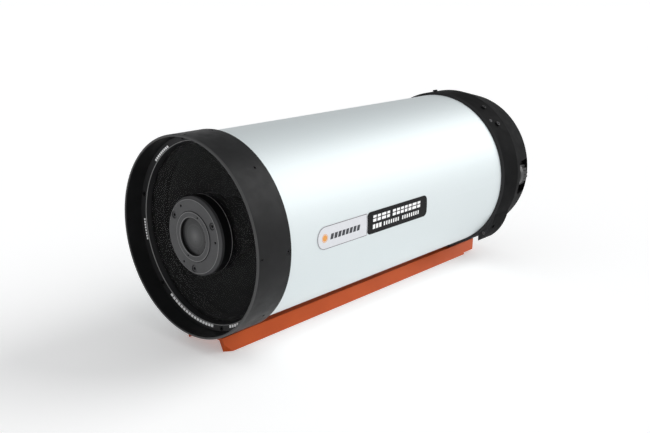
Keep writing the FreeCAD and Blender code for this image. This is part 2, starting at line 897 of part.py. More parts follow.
def foot_tool(side):
    """One of the two low feet that stand out of the band."""
    name = "rear_foot_left" if side < 0 else "rear_foot_right"
    reach = "sqrt(foot_r ^ 2 - (foot_top_drop - foot_drop) ^ 2)"
    fall = "sqrt(foot_r ^ 2 - (foot_inner_x - foot_x) ^ 2)"
    points = [
        (f"{side} * (foot_x + {reach})", "-foot_top_drop"),
        (f"{side} * sqrt(foot_root_r ^ 2 - foot_top_drop ^ 2)", "-foot_top_drop"),
        (f"{side} * foot_inner_x", "-sqrt(foot_root_r ^ 2 - foot_inner_x ^ 2)"),
        (f"{side} * foot_inner_x", f"-foot_drop - {fall}"),
    ]
    arcs = {1: ("foot_root_r", side), 3: ("foot_r", -side)}
    return prism(name, points, "band_y", "cone_y", arcs)


def make_rear_cell():
    outer = turned(
        "rear_cell_outside",
        [
            ("0", "rear_spigot_y"),
            ("tube_inner_r - fit_gap", "rear_spigot_y"),
            ("tube_inner_r - fit_gap", "rear_pocket_y"),
            ("tube_r + fit_gap", "rear_pocket_y"),
            ("tube_r + fit_gap", "lip_y"),
            ("lip_r", "lip_y"),
            ("band_r", "band_y"),
            ("band_r", "cone_y"),
            ("cone_end_r", "cone_end_y"),
            ("back_r", "back_y"),
            ("0", "back_y"),
        ],
    )
    inside = turned(
        "rear_cell_cavity",
        [
            ("0", "rear_spigot_y - 1"),
            ("cavity_r", "rear_spigot_y - 1"),
            ("cavity_r", "cone_y"),
            ("cavity_back_r", "cavity_back_y"),
            ("hub_r", "cavity_back_y"),
            ("hub_r", "hub_y"),
            ("0", "hub_y"),
        ],
    )
    boss = u_tool("focus_boss", "pocket_half + pocket_wall", "pocket_front_y", "back_y + 1")
    hollow = cut("rear_cell_hollow", inside, [boss])
    solid = fuse("rear_cell_solid", [outer, foot_tool(-1), foot_tool(1)])
    tools = [hollow, pocket_tool()]
    tools.append(
        cylinder_tool(
            "housing_bore",
            "housing_r + fit_gap",
            "pocket_front_y - 1",
            "pocket_floor_y + 1",
            "focus_x",
            "-focus_drop",
        )
    )
    tools.append(cylinder_tool("guide_bore", "guide_r + fit_gap", "hub_y - 1", "back_y + 1"))
    tools.append(cylinder_tool("cover_recess", "cover_recess_r", "cover_recess_y", "back_y + 1"))
    for number, angle in enumerate(VENT_ANGLES, start=1):
        centre = on_circle("vent_pitch_r", angle, "0")
        bore = cylinder_tool(
            f"vent_bore_{number}", "vent_r + fit_gap", "cavity_back_y - 1", "back_y + 1", centre.x, centre.z
        )
        tools.append(bore)
    tools += rear_screw_holes()
    return place(cut("rear_cell", solid, tools))


def drill(label, radius, depth, spot):
    """A drill of this radius that enters the metal the way a fastener placed at spot would."""
    tool = DOC.addObject("Part::Cylinder", label)
    tool.setExpression("Radius", bound(radius))
    tool.setExpression("Height", bound(depth))
    tool.Placement = spot.multiply(Placement(Vector(0, 0, 0), Rotation(Vector(1, 0, 0), -90)))
    return tool


def rear_screw_holes():
    """The drills for every threaded hole of the rear cell, each started outside its surface."""
    drills = []

    def add(radius, depth, spot):
        drills.append(drill(f"rear_drill_{len(drills) + 1}", radius, depth, spot))

    for angle in REAR_TUBE_SCREW_ANGLES:
        spot = facing_in("band_r + 1", angle, "rear_tube_screw_y")
        add("2.9", "2.9", spot)
        add("1.55", "band_r + 2 - cavity_r", spot)
    for angle in ACCESSORY_ANGLES:
        add("2.05", "6.5", facing_in("band_r + 1", angle, "accessory_screw_y"))
    for angle in FOOT_SCREW_ANGLES:
        spot = facing_back("foot_screw_r", angle, "band_y - 1")
        add("2.9", "2.9", spot)
        add("1.55", "8.5", spot)
    for angle in FOOT_HOLE_ANGLES:
        add("3.2", "7", facing_in("band_r + 9", angle, "foot_hole_y"))
    for angle in COVER_SCREW_ANGLES:
        add("1.55", "6.5", facing_front("cover_screw_pitch_r", angle, "back_y + 1"))
    for angle in HOUSING_SCREW_ANGLES:
        spot = facing_front("housing_screw_pitch_r", angle, "pocket_floor_y + 1")
        spot.Base += Vector(size("focus_x"), 0, -size("focus_drop"))
        add("1.55", "6.3", spot)
    for side in (-1, 1):
        base = Vector(side * size("bolt_x"), size("rear_bolt_y"), -size("band_r + 1"))
        upward = Placement(base, Rotation(AXIS, Vector(0, 0, 1)))
        add("bolt_r + fit_gap", "band_r + 1 - bolt_tip_drop", upward)
    return drills


def make_rear_fasteners():
    """The screws of the rear cell and of its cover."""
    return [
        fastener_group(
            "rear_tube_screws",
            "cover_screw",
            [facing_in("band_r - 0.2", a, "rear_tube_screw_y") for a in REAR_TUBE_SCREW_ANGLES],
        ),
        fastener_group(
            "accessory_screws",
            "button_screw",
            [facing_in("band_r + 2.25", a, "accessory_screw_y") for a in ACCESSORY_ANGLES],
        ),
        fastener_group(
            "foot_screws",
            "cover_screw",
            [facing_back("foot_screw_r", a, "band_y + 0.2") for a in FOOT_SCREW_ANGLES],
        ),
        fastener_group(
            "rear_cover_screws",
            "cover_screw",
            [facing_front("cover_screw_pitch_r", a, "overall_length - 0.3") for a in COVER_SCREW_ANGLES],
        ),
    ]


def make_rear_cover():
    """The plate that closes the hub of the rear cell."""
    cover = turned(
        "rear_cover",
        [
            ("0", "back_y"),
            ("cover_r", "back_y"),
            ("cover_r", "overall_length - edge_break"),
            ("cover_r - edge_break", "overall_length"),
            ("0", "overall_length"),
        ],
    )
    first = COVER_SCREW_ANGLES[0]
    pitch = "cover_screw_pitch_r"
    axial_holes(cover, "cover_heads", "2.9", pitch, first, 3, "overall_length - 2", "3")
    axial_holes(cover, "cover_shanks", "1.6", pitch, first, 3, "back_y - 1", "6")
    return place(cover)


def make_vents():
    """Two screened vents in the back wall: a flanged ring and a perforated disc in each."""
    flanged = turned(
        "vent_ring",
        [
            ("vent_r - 2", "back_y - 3.5"),
            ("vent_r", "back_y - 3.5"),
            ("vent_r", "back_y"),
            ("vent_flange_r", "back_y"),
            ("vent_flange_r", "back_y + vent_flange"),
            ("vent_r - 2", "back_y + vent_flange"),
        ],
    )
    mesh = ring("vent_mesh_disc", "0", "vent_r", "back_y - 3.55 - vent_mesh", "back_y - 3.55")
    for step, count in enumerate((1, 6, 12, 18)):
        axial_holes(mesh, f"mesh_holes_{step}", "1.25", f"3.6 * {step}", 0, count, "back_y - 6", "5")
    DOC.recompute()
    spots = [Placement(on_circle("vent_pitch_r", angle, "0"), Rotation()) for angle in VENT_ANGLES]
    return [copies("vent_rings", flanged, spots), copies("vent_screens", mesh, spots)]


# ---------------------------------------------------------------------------------------------
# Primary mirror and the slide that carries it


def make_mirror_group():
    """The mirror, the carrier it is clamped to, its pad and its clamping ring."""
    mirror = turned(
        "primary_mirror",
        [
            ("mirror_hole_r", "mirror_front_y"),
            ("mirror_land_r", "mirror_front_y"),
            ("mirror_r", "mirror_edge_y"),
            ("mirror_r", "mirror_back_y"),
            ("mirror_hole_r", "mirror_back_y"),
        ],
        {1: ("mirror_curve_r", 1)},
    )
    carrier = turned(
        "mirror_carrier",
        [
            ("carrier_bore_r", "carrier_front_y"),
            ("carrier_r", "carrier_front_y"),
            ("carrier_r", "carrier_flange_y"),
            ("carrier_flange_r", "carrier_flange_y"),
            ("carrier_flange_r", "carrier_flange_back_y"),
            ("carrier_r + 2.5", "carrier_flange_back_y"),
            ("carrier_r + 2.5", "carrier_back_y"),
            ("carrier_bore_r", "carrier_back_y"),
        ],
    )
    for number, angle in enumerate(ARM_SCREW_ANGLES, start=1):
        name = f"arm_thread_{number}"
        axial_holes(carrier, name, "1.55", "arm_screw_pitch_r", angle, 1, "carrier_flange_y + 1", "5")
    pad = ring("mirror_pad", "carrier_r + 2", "carrier_flange_r - 3", "mirror_back_y", "carrier_flange_y")
    clamp = ring(
        "mirror_retaining_ring",
        "carrier_r + fit_gap",
        "mirror_land_r - 1",
        "carrier_front_y + 1.5",
        "mirror_front_y",
    )
    return [place(piece) for piece in (mirror, carrier, pad, clamp)]


def make_slide_bearing():
    """The linear ball bearing between the carrier and the guide tube: sleeve, cage and balls."""
    bore = "carrier_bore_r - 0.9"
    sleeve = ring(
        "slide_bearing_sleeve", bore, "carrier_bore_r", "carrier_front_y + 3", "carrier_back_y - 3"
    )
    cage = ring(
        "slide_bearing_cage", "guide_r + 0.6", "guide_r + 2", "carrier_front_y + 4", "carrier_back_y - 4"
    )
    rows = ("carrier_front_y + 8", "carrier_back_y - 8")
    for number, along in enumerate(rows, start=1):
        name = f"ball_windows_{number}"
        radial_holes(cage, name, "1.4", along, 0, BALLS_PER_ROW, "guide_r + 3", "3")
    ball = DOC.addObject("Part::Sphere", "slide_ball")
    ball.setExpression("Radius", bound(f"({bore} - guide_r) / 2 - running_gap"))
    DOC.recompute()
    middle = f"({bore} + guide_r) / 2"
    step = 360 / BALLS_PER_ROW
    spots = [
        Placement(on_circle(middle, step * i, along), Rotation())
        for along in rows
        for i in range(BALLS_PER_ROW)
    ]
    return [place(sleeve), place(cage), copies("slide_bearing_balls", ball, spots)]


def make_guide_tube():
    """The tube along the optical axis on which the mirror carrier slides."""
    guide = turned(
        "guide_tube",
        [
            ("guide_bore_r", "guide_front_y"),
            ("guide_r", "guide_front_y"),
            ("guide_r", "cover_recess_y"),
            ("guide_flange_r", "cover_recess_y"),
            ("guide_flange_r", "cover_recess_y + guide_flange"),
            ("guide_bore_r", "cover_recess_y + guide_flange"),
        ],
    )
    return place(guide)


# ---------------------------------------------------------------------------------------------
# Focus drive: knob, shaft and screw in two ball bearings, and the nut and arm that they move

FOCUS_FRAME = {"x": "focus_x", "z": "axis_height - focus_drop"}


def make_focus_arm():
    """The arm from the mirror carrier to the focus nut, with its two screws."""
    arm = prism(
        "focus_arm",
        [
            ("arm_inner_x", "-focus_drop - arm_half"),
            ("focus_x", "-focus_drop - arm_half"),
            ("focus_x", "arm_half - focus_drop"),
            ("arm_inner_x", "arm_half - focus_drop"),
        ],
        "carrier_flange_back_y",
        "arm_back_y",
        {1: ("arm_half * 1.0001", -1)},
    )
    circle(arm.Group[0], "focus_x", "-focus_drop", "nut_r + fit_gap")
    for number, angle in enumerate(ARM_SCREW_ANGLES, start=1):
        name = f"arm_hole_{number}"
        axial_holes(arm, name, "1.6", "arm_screw_pitch_r", angle, 1, "carrier_flange_back_y - 1", "9")
    screws = fastener_group(
        "focus_arm_screws",
        "long_screw",
        [facing_front("arm_screw_pitch_r", a, "arm_back_y + 1.65") for a in ARM_SCREW_ANGLES],
    )
    return [place(arm), screws]


def make_focus_nut():
    """The flanged nut that the focus screw turns in."""
    nut = turned(
        "focus_nut",
        [
            ("screw_r + running_gap", "carrier_flange_back_y + 0.1"),
            ("nut_r", "carrier_flange_back_y + 0.1"),
            ("nut_r", "arm_back_y + 0.05"),
            ("nut_flange_r", "arm_back_y + 0.05"),
            ("nut_flange_r", "nut_flange_y"),
            ("screw_r + running_gap", "nut_flange_y"),
        ],
    )
    return place(nut, **FOCUS_FRAME)


def make_focus_bearings():
    """Two ball bearings side by side: each has two races and a ring of balls."""
    race = 1.2
    gap = size("running_gap")
    shaft = size("shaft_r")
    outside = size("bearing_r")
    width = size("bearing_width")
    ball_r = (outside - shaft) / 2 - race - gap
    solids = []
    for number in range(2):
        base = Vector(0, size("bearing_front_y") + number * (width + 0.2), 0)
        for inner, outer in ((shaft + gap, shaft + race), (outside - race, outside - gap)):
            blank = Part.makeCylinder(outer, width, base, AXIS)
            solids.append(blank.cut(Part.makeCylinder(inner, width, base, AXIS)))
        for i in range(BEARING_BALLS):
            lean = 2 * math.pi * i / BEARING_BALLS
            out = Vector(math.cos(lean), 0, math.sin(lean)) * (outside + shaft) / 2
            solids.append(Part.makeSphere(ball_r, base + AXIS * (width / 2) + out))
    bearings = DOC.addObject("Part::Feature", "focus_bearings")
    bearings.Label = "focus_bearings"
    bearings.Shape = Part.makeCompound(solids)
    return place(bearings, **FOCUS_FRAME)


def make_focus_housing():
    """The flanged sleeve that holds the bearings in the pocket of the rear cell."""
    housing = turned(
        "focus_housing",
        [
            ("shaft_r + 2.5", "pocket_front_y - 0.5"),
            ("housing_r", "pocket_front_y - 0.5"),
            ("housing_r", "pocket_floor_y"),
            ("housing_flange_r", "pocket_floor_y"),
            ("housing_flange_r", "housing_flange_y"),
            ("bearing_r", "housing_flange_y"),
            ("bearing_r", "bearing_front_y - 0.05"),
            ("shaft_r + 2.5", "bearing_front_y - 0.05"),
        ],
    )
    first = HOUSING_SCREW_ANGLES[0]
    pitch = "housing_screw_pitch_r"
    axial_holes(housing, "housing_heads", "2.9", pitch, first, 3, "housing_flange_y - 1.9", "3")
    axial_holes(housing, "housing_shanks", "1.6", pitch, first, 3, "pocket_floor_y - 1", "6")
    screws = fastener_group(
        "focus_housing_screws",
        "long_screw",
        [facing_front(pitch, a, "housing_flange_y - 0.2") for a in HOUSING_SCREW_ANGLES],
        **FOCUS_FRAME,
    )
    return [place(housing, **FOCUS_FRAME), screws]


def make_focus_knob():
    """The screw and its journal in one shaft, and the knob with its ribbed grip and set screw."""
    shaft = turned(
        "focus_screw",
        [
            ("0", "screw_tip_y"),
            ("screw_r - 0.6", "screw_tip_y"),
            ("screw_r", "screw_tip_y + 0.8"),
            ("screw_r", "thread_end_y"),
            ("shaft_r", "thread_end_y"),
            ("shaft_r", "shaft_end_y"),
            ("0", "shaft_end_y"),
        ],
    )
    bore = "shaft_r + fit_gap"
    knob = turned(
        "focus_knob",
        [
            (bore, "knob_front_y"),
            ("knob_r - 1.4", "knob_front_y"),
            ("knob_r", "knob_front_y + 1.4"),
            ("knob_r", "grip_front_y - 0.1"),
            ("knob_core_r", "grip_front_y - 0.1"),
            ("knob_core_r", "knob_back_y - 1.2"),
            ("0", "knob_back_y - 1.2"),
            ("0", "shaft_end_y + 0.1"),
            (bore, "shaft_end_y + 0.1"),
        ],
    )
    radial_holes(knob, "set_screw_thread", "1.55", "knob_set_y", KNOB_SCREW_ANGLE, 1, "knob_r + 1", "18")
    grip = turned(
        "knob_grip",
        [
            ("knob_core_r + fit_gap", "grip_front_y"),
            ("knob_r", "grip_front_y"),
            ("knob_r", "knob_back_y - 1"),
            ("knob_r - 1", "knob_back_y"),
            ("knob_core_r + fit_gap", "knob_back_y"),
        ],
    )
    axial_holes(grip, "grip_grooves", "1.9", "knob_r + 0.3", 0, GRIP_RIBS, "grip_front_y - 1", "20")
    driven_in = facing_in("knob_r - 0.4", KNOB_SCREW_ANGLE, "knob_set_y")
    set_screw = fastener_group("knob_set_screw", "shaft_set_screw", [driven_in], **FOCUS_FRAME)
    return [place(piece, **FOCUS_FRAME) for piece in (shaft, knob, grip)] + [set_screw]


# ---------------------------------------------------------------------------------------------
# Dovetail bar: a channel with two splayed legs, held by saddle blocks under both cells


def corner_chamfer(side):
    """The sloping cut across the lower front corner of one leg."""
    front = size("bar_front_y")
    low = -size("axis_height")
    foot = size("bar_foot_x")
    rise = size("bar_chamfer")
    slope = size("(bar_foot_x - bar_top_x) / bar_top")
    corner = Vector(foot, front, low)
    on_face = Vector(foot - slope * rise, front, low + rise)
    on_edge = Vector(foot, front + rise, low)
    on_foot = Vector(foot - size("bar_leg"), front, low)
    beyond = corner * 2 - (on_face + on_edge + on_foot) / 3
    points = [Vector(side * p.x, p.y, p.z) for p in (on_face, on_edge, on_foot, beyond)]
    faces = []
    for left_out in range(4):
        triangle = [p for i, p in enumerate(points) if i != left_out]
        faces.append(Part.Face(Part.makePolygon(triangle + triangle[:1])))
    solid = Part.makeSolid(Part.makeShell(faces))
    if solid.Volume < 0:
        solid.reverse()
    tool = DOC.addObject("Part::Feature", "bar_corner_left" if side < 0 else "bar_corner_right")
    tool.Shape = solid
    return tool


def make_dovetail_bar():
    """The channel, with bolt holes in its web, a sloping rear end and a shallow notch below."""
    inner_web = "bar_foot_x - bar_leg - bar_web_under * (bar_foot_x - bar_top_x) / bar_top"
    right_side = [
        (inner_web, "bar_web_under - axis_height"),
        ("bar_foot_x - bar_leg", "-axis_height"),
        ("bar_foot_x", "-axis_height"),
        ("bar_top_x", "bar_top - axis_height"),
    ]
    left_side = [(f"-({x})", z) for x, z in reversed(right_side)]
    bar = prism("bar_channel", right_side + left_side, "bar_front_y", "bar_back_y")
    for bolt_y in ("front_bolt_y", "rear_bolt_y"):
        bolt_holes(bar, bolt_y, "axis_height - bar_web_under + 1", "bar_top - bar_web_under + 2")
    end = side_prism(
        "bar_end_cut",
        [
            ("bar_notch_y", "-axis_height - 1"),
            ("bar_back_y + 5", "-axis_height - 1"),
            ("bar_back_y + 5", "bar_top - axis_height"),
            ("bar_back_y", "bar_top - axis_height"),
            ("bar_back_y - bar_end_slope", "bar_notch - axis_height"),
            ("bar_notch_y", "bar_notch - axis_height"),
        ],
        "bar_foot_x + 10",
    )
    return place(cut("dovetail_bar", bar, [end, corner_chamfer(-1), corner_chamfer(1)]))


def make_block(label, seat_radius, front, back, bolt_y):
    """A saddle between the flat top of the bar and the round underside of a cell."""
    top = f"-sqrt(({seat_radius}) ^ 2 - block_half_x ^ 2)"
    base = "bar_top - axis_height"
    block = prism(
        label,
        [("-block_half_x", base), ("block_half_x", base), ("block_half_x", top), ("-block_half_x", top)],
        front,
        back,
        {2: (seat_radius, 1)},
    )
    bolt_holes(block, bolt_y, "axis_height - bar_top + 1", "12")
    return place(block)


def make_bar_bolts():
    """Two bolts through the bar into each cell."""
    upward = Rotation(AXIS, Vector(0, 0, 1))
    height = size("bar_web_under - axis_height - bar_bolt_height")
    made = []
    for end, bolt_y in (("front", "front_bolt_y"), ("rear", "rear_bolt_y")):
        bases = [Vector(side * size("bolt_x"), size(bolt_y), height) for side in (-1, 1)]
        spots = [Placement(base, upward) for base in bases]
        made.append(fastener_group(f"{end}_bar_bolts", "bar_bolt", spots))
    return made


# ---------------------------------------------------------------------------------------------

MASTERS = {kind: make_fastener(kind) for kind in FASTENERS}
DOC.recompute()

NODES = [
    make_front_cell(),
    *make_corrector_group(),
    *make_cell_fasteners(),
    *make_lens_group(),
    make_main_tube(),
    *make_labels(),
    make_rear_cell(),
    *make_rear_fasteners(),
    make_rear_cover(),
    *make_vents(),
    *make_mirror_group(),
    *make_slide_bearing(),
    make_guide_tube(),
    *make_focus_arm(),
    make_focus_nut(),
    make_focus_bearings(),
    *make_focus_housing(),
    *make_focus_knob(),
    make_dovetail_bar(),
    make_block(
        "front_bar_block", "cell_r + fit_gap", "front_block_y", "front_block_back_y", "front_bolt_y"
    ),
    make_block("rear_bar_block", "band_r + fit_gap", "rear_block_y", "rear_block_back_y", "rear_bolt_y"),
    *make_bar_bolts(),
]
DOC.recompute()

faults = [item.Name for item in DOC.Objects if "Invalid" in item.State or "Error" in item.State]
faults += [node.Label for node in NODES if node.Shape.isNull() or not node.Shape.isValid()]
if faults:
    raise RuntimeError("these did not build: " + ", ".join(faults))

os.makedirs(PARTS_FOLDER, exist_ok=True)
for node in NODES:
    node.Shape.exportStep(f"{PARTS_FOLDER}/{node.Label}.step")
print(len(NODES), "nodes written")
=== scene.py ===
import json
import math

import bmesh
import bpy
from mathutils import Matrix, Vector


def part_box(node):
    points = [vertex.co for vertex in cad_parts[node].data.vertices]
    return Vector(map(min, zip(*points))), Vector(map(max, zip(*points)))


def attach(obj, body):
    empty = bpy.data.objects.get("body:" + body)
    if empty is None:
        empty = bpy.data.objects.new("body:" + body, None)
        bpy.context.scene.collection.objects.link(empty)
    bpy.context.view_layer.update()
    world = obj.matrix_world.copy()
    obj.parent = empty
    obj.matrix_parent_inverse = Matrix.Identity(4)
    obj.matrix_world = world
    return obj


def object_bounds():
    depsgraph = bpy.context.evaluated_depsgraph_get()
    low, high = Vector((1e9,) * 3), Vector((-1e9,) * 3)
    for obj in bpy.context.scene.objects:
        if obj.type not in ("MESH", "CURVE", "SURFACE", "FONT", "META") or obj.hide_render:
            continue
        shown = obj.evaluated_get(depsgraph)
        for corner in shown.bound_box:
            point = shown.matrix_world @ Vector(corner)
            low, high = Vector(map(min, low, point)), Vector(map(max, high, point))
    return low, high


# Looks of an 8-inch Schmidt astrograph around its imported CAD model. Metres, in the model's frame:
# +Y runs from the open front to the back along the optical axis, and +Z is up. A clock angle is
# counted about the optical axis from +X towards +Z. "Behind" is a distance behind the front rim.

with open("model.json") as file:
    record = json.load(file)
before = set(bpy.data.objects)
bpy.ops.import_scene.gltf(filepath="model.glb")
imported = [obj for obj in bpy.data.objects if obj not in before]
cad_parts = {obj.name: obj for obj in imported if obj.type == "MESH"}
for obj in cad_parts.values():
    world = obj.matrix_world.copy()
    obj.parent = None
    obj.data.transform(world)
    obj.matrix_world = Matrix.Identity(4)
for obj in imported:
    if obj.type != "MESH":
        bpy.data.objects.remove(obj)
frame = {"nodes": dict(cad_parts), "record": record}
NODES = frame["nodes"]
CAD_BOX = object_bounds()
MM = 0.001
AXIS_HEIGHT = 0.1355
FRONT_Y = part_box("front_cell")[0].y
MIDDLE = Vector((0, 0, AXIS_HEIGHT))

# The optical tube, and the places of the edges that its paints mark
TUBE_R = 0.1140
RIM_HIGHLIGHT_WIDTH = 0.0013  # width of the painted highlight round the front rim
CELL_DEPTH = 0.0487  # back edge of the front cell, behind
BAND_START = 0.4874  # edges of the rear cell's band, behind
CONE_START = 0.5255
RING_FACE_EDGE_R = 0.1076  # inner edge of the retaining ring's face

# The same for the lens group, as radii
LENS_FACE_R = 0.0430  # edge of the flange's flat face
WINDOW_RING_HIGHLIGHT_R = 0.0285  # painted highlight: a bright line just inside the window ring's rim
WINDOW_SEAM_R = 0.0298  # dark line just outside it
OPENING_EDGE_R = 0.0229  # outer edge of the opening's chamfer
BORE_BLACK_R = 0.0221  # black inside this
BARREL_HIGHLIGHT = 0.0280  # painted highlight: a bright line just in front of the barrel's step, behind

# The focus knob's axis, and the radii where its grip is still black and where the grey painted
# highlight on its ribs is full
KNOB_X, KNOB_Z = 0.0885, 0.1300
GRIP_BLACK_R, GRIP_HIGHLIGHT_R = 0.0193, 0.0198

TURNING_PITCH = 0.0009  # spacing of the tool marks on anodised parts
MACHINING_PITCH = 0.0006  # and on bare metal


def at(radius, angle, behind):
    """A point by millimetres from the optical axis, clock angle in degrees, and millimetres
    behind."""
    lean = math.radians(angle)
    return Vector(
        (
            radius * MM * math.cos(lean),
            FRONT_Y + behind * MM,
            AXIS_HEIGHT + radius * MM * math.sin(lean),
        )
    )


# ---------------------------------------------------------------------------------------------
# Material building blocks


class Surface:
    """A node material with one Principled shader and short calls for the nodes around it."""

    def __init__(self, name, color, roughness, metallic=0.0, **sockets):
        self.material = bpy.data.materials.new(name)
        self.material.use_nodes = True
        self.tree = self.material.node_tree
        self.tree.nodes.clear()
        self.output = self.node("ShaderNodeOutputMaterial")
        self.shader = self.node("ShaderNodeBsdfPrincipled")
        self.link(self.shader, "BSDF", self.output, "Surface")
        self.shader.inputs["Base Color"].default_value = (*color, 1)
        self.shader.inputs["Roughness"].default_value = roughness
        self.shader.inputs["Metallic"].default_value = metallic
        for socket, value in sockets.items():
            self.shader.inputs[socket.replace("_", " ")].default_value = value
        self.place = self.node("ShaderNodeTexCoord").outputs["Object"]
        self.height = None

    def node(self, kind, **settings):
        made = self.tree.nodes.new(kind)
        for name, value in settings.items():
            setattr(made, name, value)
        return made

    def link(self, source, output, target, socket):
        self.tree.links.new(source.outputs[output], target.inputs[socket])

    def feed(self, value, socket):
        """Connects an output, or sets a plain number."""
        if isinstance(value, (int, float)):
            socket.default_value = value
        else:
            self.tree.links.new(value, socket)

    def math(self, operation, a, b=0.0):
        made = self.node("ShaderNodeMath", operation=operation)
        self.feed(a, made.inputs[0])
        self.feed(b, made.inputs[1])
        return made.outputs[0]

    def split(self, vector):
        made = self.node("ShaderNodeSeparateXYZ")
        self.tree.links.new(vector, made.inputs[0])
        return made.outputs

    def stretch(self, scale):
        """The object coordinates multiplied by scale along X, Y and Z."""
        made = self.node("ShaderNodeMapping")
        self.tree.links.new(self.place, made.inputs["Vector"])
        made.inputs["Scale"].default_value = scale
        return made.outputs["Vector"]

    def noise(self, scale, detail=3.0, roughness=0.5, vector=None):
        made = self.node("ShaderNodeTexNoise")
        self.tree.links.new(vector or self.place, made.inputs["Vector"])
        made.inputs["Scale"].default_value = scale
        made.inputs["Detail"].default_value = detail
        made.inputs["Roughness"].default_value = roughness
        return made.outputs["Fac"]

    def cells(self, scale):
        made = self.node("ShaderNodeTexVoronoi")
        self.tree.links.new(self.place, made.inputs["Vector"])
        made.inputs["Scale"].default_value = scale
        return made.outputs["Distance"]

    def remap(self, value, low, high, to_low, to_high):
        made = self.node("ShaderNodeMapRange")
        self.feed(value, made.inputs["Value"])
        bounds = (low, high, to_low, to_high)
        for name, number in zip(("From Min", "From Max", "To Min", "To Max"), bounds):
            made.inputs[name].default_value = number
        return made.outputs["Result"]

    def mix(self, factor, first, second):
        """A colour between two colours; each is a tuple or an output."""
        made = self.node("ShaderNodeMix", data_type="RGBA")
        self.feed(factor, made.inputs["Factor"])
        for value, socket in ((first, made.inputs[6]), (second, made.inputs[7])):
            if isinstance(value, tuple):
                socket.default_value = (*value, 1)
            else:
                self.tree.links.new(value, socket)
        return made.outputs[2]

    def color(self, output):
        self.tree.links.new(output, self.shader.inputs["Base Color"])

    def rough(self, output):
        self.tree.links.new(output, self.shader.inputs["Roughness"])

    def bump(self, height, strength, distance):
        """Adds a layer of relief, of this real height in metres."""
        made = self.node("ShaderNodeBump")
        made.inputs["Strength"].default_value = strength
        made.inputs["Distance"].default_value = distance
        self.tree.links.new(height, made.inputs["Height"])
        if self.height:
            self.tree.links.new(self.height, made.inputs["Normal"])
        self.height = made.outputs["Normal"]
        self.tree.links.new(self.height, self.shader.inputs["Normal"])

    def axis_distance(self, x=0.0, z=AXIS_HEIGHT):
        """Distance from a line along Y, the optical axis if nothing else is said."""
        parts = self.split(self.place)
        across = self.math("SUBTRACT", parts[0], x)
        up = self.math("SUBTRACT", parts[2], z)
        across_square = self.math("MULTIPLY", across, across)
        square = self.math("ADD", across_square, self.math("MULTIPLY", up, up))
        return self.math("SQRT", square)

    def behind(self):
        """Metres behind the front rim."""
        return self.math("SUBTRACT", self.split(self.place)[1], FRONT_Y)

    def line(self, value, centre, width):
        """1 where value is within width of centre, fading to 0 outside it."""
        away = self.math("ABSOLUTE", self.math("SUBTRACT", value, centre))
        return self.remap(away, width * 0.6, width, 1.0, 0.0)

    def paint(self, factor, color):
        """Lays a colour over what the base colour already is."""
        under = self.shader.inputs["Base Color"].links[0].from_socket
        self.color(self.mix(factor, under, color))

    def grooves(self, along, pitch, strength=0.12):
        """Fine tool marks, as waves of this pitch in metres."""
        wave = self.math("SINE", self.math("MULTIPLY", along, 2 * math.pi / pitch))
        wander = self.noise(60)
        self.bump(self.math("MULTIPLY", wave, wander), strength, 0.00002)


def powder_coat(name, color, specular=0.3, roughness=0.46):
    """Satin black powder coat: a fine orange peel with slightly uneven gloss and dust."""
    s = Surface(name, color, roughness, Specular_IOR_Level=specular)
    dust = s.remap(s.noise(38, 6), 0.42, 0.72, 0.0, 1.0)
    lighter = tuple(c * 1.3 + 0.001 for c in color)
    s.color(s.mix(dust, color, lighter))
    s.rough(s.remap(s.noise(90, 4), 0.3, 0.7, roughness - 0.05, roughness + 0.07))
    s.bump(s.noise(2600, 2), 0.25, 0.00005)
    s.bump(s.cells(900), 0.08, 0.00006)
    return s


def anodised(name, color, roughness, metallic=0.3, specular=0.35):
    """Turned and anodised aluminium, with faint tool marks around the axis."""
    s = Surface(name, color, roughness, metallic, Specular_IOR_Level=specular)
    stain = s.remap(s.noise(25, 5), 0.35, 0.7, 0.0, 1.0)
    s.color(s.mix(stain, color, tuple(c * 1.2 for c in color)))
    s.rough(s.remap(s.noise(220, 3), 0.3, 0.7, roughness - 0.04, roughness + 0.06))
    s.grooves(s.math("ADD", s.axis_distance(), s.behind()), TURNING_PITCH)
    s.bump(s.noise(3500, 2), 0.10, 0.00003)
    return s


def front_cell_coat():
    """Powder coat with a paler painted highlight round the front rim and a paler painted highlight
    line along the cell's back edge.
    """
    s = powder_coat("front_cell_black", (0.0105, 0.0106, 0.0111), 0.14)
    behind = s.behind()
    # Painted highlight: the front rim's edge is painted paler where light catches it
    rim = s.remap(behind, RIM_HIGHLIGHT_WIDTH - 0.0002, RIM_HIGHLIGHT_WIDTH + 0.0002, 0.85, 0.0)
    s.paint(rim, (0.085, 0.085, 0.086))
    # Painted highlight: a paler line along the front cell's back edge
    s.paint(s.line(behind, CELL_DEPTH, 0.0003), (0.06, 0.06, 0.06))
    return s


def rear_cell_coat():
    """Darker powder coat with a paler painted highlight on its front lip and a painted highlight
    line where the band meets the cone.
    """
    s = powder_coat("rear_cell_black", (0.0068, 0.0069, 0.0072), 0.02, 0.56)
    behind = s.behind()
    # Painted highlight: the lip's chamfer next to the tube is painted paler
    lip = s.remap(behind, BAND_START, BAND_START + 0.0005, 1.0, 0.0)
    s.paint(lip, (0.034, 0.034, 0.035))
    # Painted highlight: a slightly paler line where the band meets the cone
    s.paint(s.line(behind, CONE_START, 0.0005), (0.012, 0.012, 0.0125))
    return s


def knob_grip_rubber():
    """Ribbed rubber: a grey painted highlight on top of the ribs, and black between them."""
    s = rubber("knob_grip_rubber", (0.006, 0.006, 0.006), 0.6)
    across = s.axis_distance(KNOB_X, KNOB_Z)
    # Painted highlight: the rib tops are painted grey, and the grooves are left black
    s.paint(s.remap(across, GRIP_BLACK_R, GRIP_HIGHLIGHT_R, 0.0, 1.0), (0.030, 0.030, 0.031))
    return s


